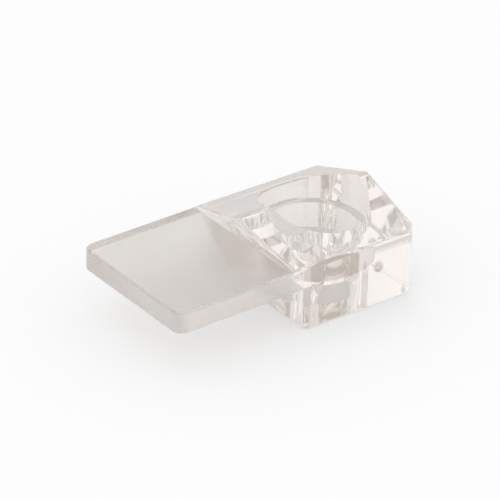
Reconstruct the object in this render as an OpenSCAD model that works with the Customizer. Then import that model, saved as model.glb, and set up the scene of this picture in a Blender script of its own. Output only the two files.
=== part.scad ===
// Clear moulded clip that holds the edge of a mirror or pane against a wall.
// The wall face lies on z = 0. The blade points along -X and the screwed block
// stands at +X. The origin is the middle of the part's outline on the wall.

/* [Block] */
// Width of the whole clip, along the edge of the glass
width = 16; // [14:0.5:40]
// Length of the block from the stop face to the outer end
block_len = 13.7; // [13.3:0.1:40]

/* [Blade] */
// Reach of the blade over the glass, from the stop face
blade_len = 15.25; // [8:0.25:40]
// Thickness of the blade
blade_thick = 2.4; // [1.4:0.1:5]
// Height of the blade over the wall, which is the thickness of the glass
glass_gap = 4.65; // [4.2:0.05:12]
// How far the blade's tip leans towards the wall to press on the glass
tip_drop = 0.17; // [0:0.01:0.25]

/* [Roof] */
// Height of the ridge over the blade
roof_height = 2.85; // [1:0.05:6]
// How far the foot of the roof reaches past the stop face, over the blade
roof_lead = 1.9; // [0.4:0.1:4]
// Lean of the roof's end face out over the blade, in degrees from upright
roof_lean = 31; // [0:1:40]

/* [Edges] */
// Radius of the upright corners at the tip and at the outer end
corner_r = 1.2; // [0.5:0.1:2.5]
// Radius of the upright corners beside the stop face
stop_corner_r = 0.7; // [0.5:0.1:2.5]
// Radius along the outer edges
edge_r = 0.3; // [0.1:0.05:0.4]
// Radius along the eaves, where the roof meets the sides
eave_r = 0.5; // [0.2:0.1:1]
// Radius along the ridge
ridge_r = 1; // [0.8:0.1:3]
// Radius along the sloping edges at both ends of the roof
rake_r = 0.3; // [0.1:0.05:0.5]

/* [Screw hole] */
// Diameter of the neck that the screw's shank passes
neck_d = 3.8; // [2.5:0.1:5]
// Length of the neck
neck_len = 0.5; // [0.3:0.05:1]
// Height of the top of the neck over the wall, which is the floor of the recess
neck_top = 3.15; // [2.6:0.05:3.8]
// Diameter of the recess for the screw's head
head_d = 9.15; // [7:0.05:10.5]
// Diameter of the seat for a cover cap
cap_d = 11.1; // [10.7:0.1:12]
// Height of the ledge that the cover cap sits on
cap_floor = 5.95; // [5.4:0.05:6.8]
// Diameter of the relief round the wall plug, at its top
relief_top_d = 5.8; // [5.2:0.1:7]
// Diameter of that relief at the wall
relief_d = 6.1; // [5.2:0.1:8]
// Height of the shoulder of the relief
relief_h = 2.1; // [1:0.1:2.2]

/* [Hidden] */
$fn = 96;

total_len = blade_len + block_len;
tip_x = -total_len / 2;
end_x = total_len / 2;
stop_x = end_x - block_len;
hole_x = end_x - block_len / 2;

blade_top = glass_gap + blade_thick;
blade_mid = glass_gap + blade_thick / 2;
ridge_z = blade_top + roof_height;
roof_foot_x = stop_x - roof_lead;
lean_run = tan(roof_lean);
blade_angle = atan(tip_drop / blade_len);
// Length of blade that is sunk into the block, so that the two are one piece
root_len = 2 * corner_r;
// Length by which cutting shapes run past the faces that they cut
clear = 1;
// Size of the waste at a corner against the corner that it takes off
waste_scale = 1.5;

function unit(v) = v / norm(v);

// Takes the sharp corner at p off an outline whose neighbouring points are a and b
module corner_waste(a, p, b, r) {
    u = unit(a - p);
    v = unit(b - p);
    half_angle = acos(u * v) / 2;
    centre = p + unit(u + v) * r / sin(half_angle);
    reach = r / tan(half_angle);
    difference() {
        polygon([for (q = [centre, p + u * reach, p, p + v * reach]) centre + (q - centre) * waste_scale]);
        translate(centre) circle(r);
    }
}

// Outline through the points, with its own radius at each corner
module rounded_outline(points, radii) {
    n = len(points);
    difference() {
        polygon(points);
        for (i = [0 : n - 1])
            if (radii[i] > 0)
                corner_waste(points[(i + n - 1) % n], points[i], points[(i + 1) % n], radii[i]);
    }
}

// Extrudes an outline of the YZ plane from x0 to x1
module along_x(x0, x1) {
    translate([x0, 0, 0]) rotate([90, 0, 90]) linear_extrude(x1 - x0) children();
}

// Extrudes an outline of the XZ plane across a width that is centred on y = 0
module along_y(w) {
    rotate([90, 0, 0]) linear_extrude(w, center = true) children();
}

// Slab with round upright corners and soft edges: r_low and r_high are the corner
// radii at its x0 and x1 ends, e_low and e_high the edge radii below and above
module soft_slab(x0, x1, w, z0, z1, r_low, r_high, e_low, e_high) {
    module post(r) {
        rotate_extrude()
            rounded_outline([[0, z0], [r, z0], [r, z1], [0, z1]], [0, e_low, e_high, 0]);
    }
    edge_radii = [e_low, e_low, e_high, e_high];
    mid_x = (x0 + x1) / 2;
    for (side = [-1, 1]) {
        translate([x0 + r_low, side * (w / 2 - r_low), 0]) post(r_low);
        translate([x1 - r_high, side * (w / 2 - r_high), 0]) post(r_high);
    }
    along_x(x0 + r_low, x1 - r_high)
        rounded_outline([[-w / 2, z0], [w / 2, z0], [w / 2, z1], [-w / 2, z1]], edge_radii);
    along_y(w - 2 * r_low)
        rounded_outline([[x0, z0], [mid_x, z0], [mid_x, z1], [x0, z1]], [e_low, 0, 0, e_high]);
    along_y(w - 2 * r_high)
        rounded_outline([[mid_x, z0], [x1, z0], [x1, z1], [mid_x, z1]], [0, e_low, e_high, 0]);
}

module foot() {
    soft_slab(stop_x, end_x, width, 0, blade_mid, stop_corner_r, corner_r, edge_r, 0);
}

// The blade turns about the top of the stop face, so the glass gap narrows to the tip
module blade() {
    translate([stop_x, 0, glass_gap]) rotate([0, -blade_angle, 0]) translate([-stop_x, 0, -glass_gap])
        soft_slab(tip_x, stop_x + root_len, width, glass_gap, blade_top, corner_r, corner_r, edge_r, edge_r);
}

// Waste outside the rounding of a straight edge from p to q, where two faces with
// outward normals n1 and n2 meet
module edge_waste(p, q, n1, n2, r) {
    along = unit(q - p);
    out = unit(n1 + n2);
    side = cross(out, along);
    half_angle = 90 - acos(n1 * n2) / 2;
    depth = r / sin(half_angle);
    multmatrix([for (k = [0 : 2]) [side[k], out[k], along[k], p[k]]])
        translate([0, 0, -clear])
            linear_extrude(norm(q - p) + 2 * clear)
                corner_waste(depth * [-tan(half_angle), -1], [0, 0], depth * [tan(half_angle), -1], r);
}

module rake_wastes() {
    half = width / 2;
    slope = atan(roof_height / half);
    outer_n = [1, 0, 0];
    inner_n = [-cos(roof_lean), 0, -sin(roof_lean)];
    for (side = [-1, 1]) {
        slope_n = [0, side * sin(slope), cos(slope)];
        edge_waste([end_x, 0, ridge_z], [end_x, side * half, blade_top], outer_n, slope_n, rake_r);
        edge_waste([roof_foot_x - lean_run * roof_height, 0, ridge_z], [roof_foot_x, side * half, blade_top],
            inner_n, slope_n, rake_r);
    }
}

module roof() {
    half = width / 2;
    intersection() {
        along_x(tip_x, end_x)
            rounded_outline(
                [[-half, blade_mid], [half, blade_mid], [half, blade_top], [0, ridge_z], [-half, blade_top]],
                [0, 0, eave_r, ridge_r, eave_r]);
        along_y(width)
            rounded_outline(
                [[roof_foot_x + lean_run * blade_thick / 2, blade_mid], [end_x, blade_mid],
                 [end_x, ridge_z], [roof_foot_x - lean_run * roof_height, ridge_z]],
                [0, 0, edge_r, edge_r]);
        linear_extrude(ridge_z)
            rounded_outline([[tip_x, -half], [end_x, -half], [end_x, half], [tip_x, half]],
                [0, corner_r, corner_r, 0]);
    }
}

// Stepped bore, revolved about the screw's axis. From the wall up: relief, neck,
// head recess and cap seat
module screw_hole() {
    neck_foot = neck_top - neck_len;
    translate([hole_x, 0, 0]) rotate_extrude()
        polygon([
            [0, -clear], [relief_d / 2, -clear], [relief_d / 2, 0], [relief_top_d / 2, relief_h],
            [neck_d / 2, neck_foot], [neck_d / 2, neck_top],
            [head_d / 2, neck_top], [head_d / 2, cap_floor],
            [cap_d / 2, cap_floor], [cap_d / 2, ridge_z + clear], [0, ridge_z + clear]]);
}

module clip() {
    color([0.93, 0.93, 0.91, 0.45])
        difference() {
            union() {
                foot();
                blade();
                difference() {
                    roof();
                    rake_wastes();
                }
            }
            screw_hole();
        }
}

clip();
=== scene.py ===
import math

import bpy
from mathutils import Matrix, Vector


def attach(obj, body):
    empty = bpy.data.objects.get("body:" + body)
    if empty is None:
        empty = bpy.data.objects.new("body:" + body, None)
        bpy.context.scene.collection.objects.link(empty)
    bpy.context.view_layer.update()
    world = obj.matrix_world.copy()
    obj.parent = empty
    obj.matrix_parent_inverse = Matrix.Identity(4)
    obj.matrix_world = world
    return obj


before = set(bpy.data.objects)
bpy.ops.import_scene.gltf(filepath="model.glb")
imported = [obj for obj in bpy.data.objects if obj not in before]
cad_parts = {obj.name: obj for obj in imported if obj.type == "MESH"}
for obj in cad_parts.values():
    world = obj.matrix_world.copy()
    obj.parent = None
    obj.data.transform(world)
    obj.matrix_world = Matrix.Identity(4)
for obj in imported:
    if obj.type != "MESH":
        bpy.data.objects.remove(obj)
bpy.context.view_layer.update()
scene = bpy.context.scene

MM = 0.001
# Sizes of the clip in millimetres
BLOCK_LEN, BLADE_LEN, BLADE_THICK, GLASS_GAP, ROOF_LEAD = 13.7, 15.25, 2.4, 4.65, 1.9
END_X = (BLOCK_LEN + BLADE_LEN) / 2
STOP_X = END_X - BLOCK_LEN
# Middle and radius of the void, in millimetres
VOID_AT, VOID_R = (11.215, -4.5, 2.99), 0.62


# ---------------------------------------------------------------- node helpers
def node(tree, kind, **values):
    """Adds a shader node and sets its options."""
    n = tree.nodes.new("ShaderNode" + kind)
    for key, value in values.items():
        setattr(n, key, value)
    return n


def feed(tree, socket, value):
    """Sets a socket to a constant, or links another node's output to it."""
    if isinstance(value, (int, float, tuple)):
        socket.default_value = value
    else:
        tree.links.new(value, socket)


def calc(tree, operation, a, b=0.0, clamp=False):
    n = node(tree, "Math", operation=operation, use_clamp=clamp)
    feed(tree, n.inputs[0], a)
    feed(tree, n.inputs[1], b)
    return n.outputs[0]


def times(tree, first, *others):
    for factor in others:
        first = calc(tree, "MULTIPLY", first, factor)
    return first


def span(tree, value, lo, hi, out_lo=0.0, out_hi=1.0):
    """Maps lo..hi to out_lo..out_hi, with soft ends."""
    n = node(tree, "MapRange", interpolation_type="SMOOTHSTEP")
    feed(tree, n.inputs["Value"], value)
    for name, v in (("From Min", lo), ("From Max", hi), ("To Min", out_lo), ("To Max", out_hi)):
        feed(tree, n.inputs[name], v)
    return n.outputs[0]


def noise(tree, place, scale, detail):
    """Noise of so many patches to the metre, with so many finer octaves."""
    n = node(tree, "TexNoise")
    tree.links.new(place, n.inputs["Vector"])
    n.inputs["Scale"].default_value = scale
    n.inputs["Detail"].default_value = detail
    return n.outputs["Fac"]


def split(tree, vector):
    n = node(tree, "SeparateXYZ")
    tree.links.new(vector, n.inputs[0])
    return n.outputs


# ---------------------------------------------------------------- clear plastic
PLASTIC_IOR = 1.49
# Roughness of the blade's underside and of its top, and the most that the haze has elsewhere
SATIN, DULL, HAZE = 0.35, 0.2, 0.04
# The least upright part of the normal on the underside and its soft edges, and how far in
# millimetres these reach over the gap
EDGE_LEVEL, EDGE_REACH = 0.15, 0.33
# How far before the stop face the satin ends, in millimetres
STOP_MARGIN = 0.01
# The least upright part of the normal on the flat top of the blade
TOP_LEVEL = 0.97
# Tint of the plastic where it flowed thin and where it flowed thick
PALE_TINT, DEEP_TINT = (0.86, 0.82, 0.785, 1), (0.82, 0.78, 0.745, 1)
# Patches to the metre and octaves of each noise, with the depth in millimetres where it has one
HAZE_SCALE, HAZE_DETAIL, HAZE_FROM, HAZE_TO = 900.0, 4.0, 0.35, 0.7
FLOW_SCALE, FLOW_DETAIL, FLOW_FROM, FLOW_TO = 150.0, 3.0, 0.3, 0.7
SINK_SCALE, SINK_DETAIL, SINK_DEPTH = 230.0, 1.0, 0.010
GRAIN_SCALE, GRAIN_DETAIL, GRAIN_DEPTH = 5000.0, 2.0, 0.002


def underside(t, place, normal):
    """1 on the blade's underside with its soft edges, out from the stop face."""
    level = calc(t, "GREATER_THAN", calc(t, "ABSOLUTE", normal["Z"]), EDGE_LEVEL)
    height = calc(t, "ABSOLUTE", calc(t, "SUBTRACT", place["Z"], GLASS_GAP * MM))
    low = calc(t, "LESS_THAN", height, EDGE_REACH * MM)
    ahead = calc(t, "LESS_THAN", place["X"], (STOP_X - STOP_MARGIN) * MM)
    return times(t, level, low, ahead)


def blade_top(t, place, normal):
    """1 on the flat top of the blade, up to the foot of the roof."""
    above = calc(t, "GREATER_THAN", place["Z"], (GLASS_GAP + BLADE_THICK / 2) * MM)
    before_roof = calc(t, "LESS_THAN", place["X"], (STOP_X - ROOF_LEAD) * MM)
    flat_up = calc(t, "GREATER_THAN", normal["Z"], TOP_LEVEL)
    return times(t, above, before_roof, flat_up)


def clear_plastic():
    """Clear moulded plastic: polished, with a satin face under the blade and a dull one over it."""
    mat = bpy.data.materials.new("clear_plastic")
    mat.use_nodes = True
    t = mat.node_tree
    shader = t.nodes["Principled BSDF"]
    shader.inputs["Transmission Weight"].default_value = 1.0
    shader.inputs["IOR"].default_value = PLASTIC_IOR
    geo = node(t, "NewGeometry")
    place = geo.outputs["Position"]
    axes = split(t, place)
    facing = split(t, geo.outputs["True Normal"])
    satin = underside(t, axes, facing)
    dull = blade_top(t, axes, facing)
    haze = span(t, noise(t, place, HAZE_SCALE, HAZE_DETAIL), HAZE_FROM, HAZE_TO, 0.0, HAZE)
    blade = calc(t, "MAXIMUM", times(t, satin, SATIN), times(t, dull, DULL))
    t.links.new(calc(t, "MAXIMUM", blade, haze), shader.inputs["Roughness"])
    # slightly uneven tint, from the flow of the plastic
    tint = node(t, "Mix", data_type="RGBA")
    colours = [i for i in tint.inputs if i.type == "RGBA"]
    colours[0].default_value, colours[1].default_value = PALE_TINT, DEEP_TINT
    flow = [i for i in tint.inputs if i.name == "Factor" and i.type == "VALUE"][0]
    t.links.new(span(t, noise(t, place, FLOW_SCALE, FLOW_DETAIL), FLOW_FROM, FLOW_TO), flow)
    mixed = [o for o in tint.outputs if o.type == "RGBA"][0]
    t.links.new(mixed, shader.inputs["Base Color"])
    # faint sinks of the cooled faces, and the grain of the satin face
    sinks = times(t, noise(t, place, SINK_SCALE, SINK_DETAIL), SINK_DEPTH * MM)
    grain = times(t, noise(t, place, GRAIN_SCALE, GRAIN_DETAIL), satin, GRAIN_DEPTH * MM)
    bump = node(t, "Bump")
    bump.inputs["Distance"].default_value = 1.0
    t.links.new(calc(t, "ADD", sinks, grain), bump.inputs["Height"])
    t.links.new(bump.outputs["Normal"], shader.inputs["Normal"])
    return mat


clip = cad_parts["clip"]
plastic = clear_plastic()
if not clip.material_slots:
    clip.data.materials.append(plastic)
for slot in clip.material_slots:
    slot.material = plastic

# ---------------------------------------------------------------- void
# Small void that the moulding left in the thick corner of the block
bpy.ops.mesh.primitive_uv_sphere_add(segments=48, ring_count=24, radius=VOID_R * MM,
                                     location=[v * MM for v in VOID_AT])
void = bpy.context.object
void.name = "moulding_void"
void.data.flip_normals()
for face in void.data.polygons:
    face.use_smooth = True
void.data.materials.append(plastic)
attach(void, "root")

# ---------------------------------------------------------------- floor
FLOOR_SIDE = 4  # metres
FLOOR_DROP = 0.02  # millimetres under the wall face
FLOOR_COLOUR = (0.93, 0.93, 0.93, 1)
# Share of plain white in what camera, mirrored and transmitted rays see of the floor
GLOW_SHARE = 0.45
bpy.ops.mesh.primitive_plane_add(size=FLOOR_SIDE, location=(0, 0, -FLOOR_DROP * MM))
floor = bpy.context.object
floor.name = "floor"
floor_material = bpy.data.materials.new("pale_floor")
floor_material.use_nodes = True
t = floor_material.node_tree
matte = t.nodes["Principled BSDF"]
matte.inputs["Base Color"].default_value = FLOOR_COLOUR
matte.inputs["Roughness"].default_value = 1.0
matte.inputs["Specular IOR Level"].default_value = 0.0
path = node(t, "LightPath")
white = node(t, "Emission")
mix = node(t, "MixShader")
white.inputs["Strength"].default_value = 1.0
mirrored = calc(t, "ADD", path.outputs["Is Glossy Ray"], path.outputs["Is Transmission Ray"])
seen = calc(t, "ADD", path.outputs["Is Camera Ray"], mirrored, clamp=True)
t.links.new(times(t, seen, GLOW_SHARE), mix.inputs["Fac"])
t.links.new(matte.outputs[0], mix.inputs[1])
t.links.new(white.outputs[0], mix.inputs[2])
t.links.new(mix.outputs[0], t.nodes["Material Output"].inputs["Surface"])
floor.data.materials.append(floor_material)

# ---------------------------------------------------------------- light: a soft tent
# Direction of the tent's bright side, and its tones at both sides and at the horizon
FAR_AZ, FAR_EL = math.radians(120), math.radians(35)
NEAR_SIDE, FAR_SIDE, HORIZON = 0.9, 1.14, 0.85
# Cosines to the bright side, and heights over the horizon, between which the tones change
NEAR_COS, FAR_COS = -0.6, 1.0
HORIZON_FROM, HORIZON_TO = -0.05, 0.25
world = bpy.data.worlds.new("tent")
scene.world = world
world.use_nodes = True
t = world.node_tree
t.nodes.clear()
out = node(t, "OutputWorld")
coords = node(t, "TexCoord")
unit_dir = node(t, "VectorMath", operation="NORMALIZE")
t.links.new(coords.outputs["Generated"], unit_dir.inputs[0])
dot = node(t, "VectorMath", operation="DOT_PRODUCT")
t.links.new(unit_dir.outputs[0], dot.inputs[0])
dot.inputs[1].default_value = (math.cos(FAR_AZ) * math.cos(FAR_EL), math.sin(FAR_AZ) * math.cos(FAR_EL),
                               math.sin(FAR_EL))
tall = split(t, unit_dir.outputs[0])
tone = times(t, span(t, dot.outputs["Value"], NEAR_COS, FAR_COS, NEAR_SIDE, FAR_SIDE),
             span(t, tall["Z"], HORIZON_FROM, HORIZON_TO, HORIZON, 1.0))
glow = node(t, "Background")
t.links.new(tone, glow.inputs["Color"])
t.links.new(glow.outputs[0], out.inputs["Surface"])

# ---------------------------------------------------------------- camera
# Angles of view, fitted to the outline in the photograph
VIEW_AZ, VIEW_EL, VIEW_ROLL = (math.radians(v) for v in (38.29486, 29.93470, 2.07982))
PICTURE_PX, SENSOR_MM = 500, 36
UNIT = 1 / 10.23407  # millimetres to a pixel, at the centre
INV_F = 0.00027524  # one over the focal length in pixels
CENTRE_PX = (249.63988, 267.93671)  # where the centre falls in the picture
CENTRE_HEIGHT = 3.5
look = Vector((math.sin(VIEW_AZ) * math.cos(VIEW_EL), math.cos(VIEW_AZ) * math.cos(VIEW_EL),
               -math.sin(VIEW_EL)))
right = Vector((math.cos(VIEW_AZ), -math.sin(VIEW_AZ), 0))
up = right.cross(look)
rolled_right = right * math.cos(VIEW_ROLL) + up * math.sin(VIEW_ROLL)
rolled_up = -right * math.sin(VIEW_ROLL) + up * math.cos(VIEW_ROLL)
centre = Vector((0, 0, CENTRE_HEIGHT)) * MM
position = centre - look * (UNIT / INV_F * MM)
cam = bpy.data.cameras.new("camera")
cam_object = bpy.data.objects.new("camera", cam)
scene.collection.objects.link(cam_object)
rows = [(r, u, -f, p) for r, u, f, p in zip(rolled_right, rolled_up, look, position)]
cam_object.matrix_world = Matrix(rows + [(0, 0, 0, 1)])
cam.lens = SENSOR_MM / PICTURE_PX / INV_F
cam.shift_x = (PICTURE_PX / 2 - CENTRE_PX[0]) / PICTURE_PX
cam.shift_y = (CENTRE_PX[1] - PICTURE_PX / 2) / PICTURE_PX
cam.clip_start, cam.clip_end = 0.01, 10
scene.camera = cam_object

scene.view_settings.view_transform = "Standard"
# Light passes many faces of clear plastic before it leaves
scene.cycles.max_bounces = 32
scene.cycles.transmission_bounces = 32
scene.cycles.glossy_bounces = 16
scene.cycles.diffuse_bounces = 6
scene.cycles.caustics_refractive = True
scene.cycles.caustics_reflective = True
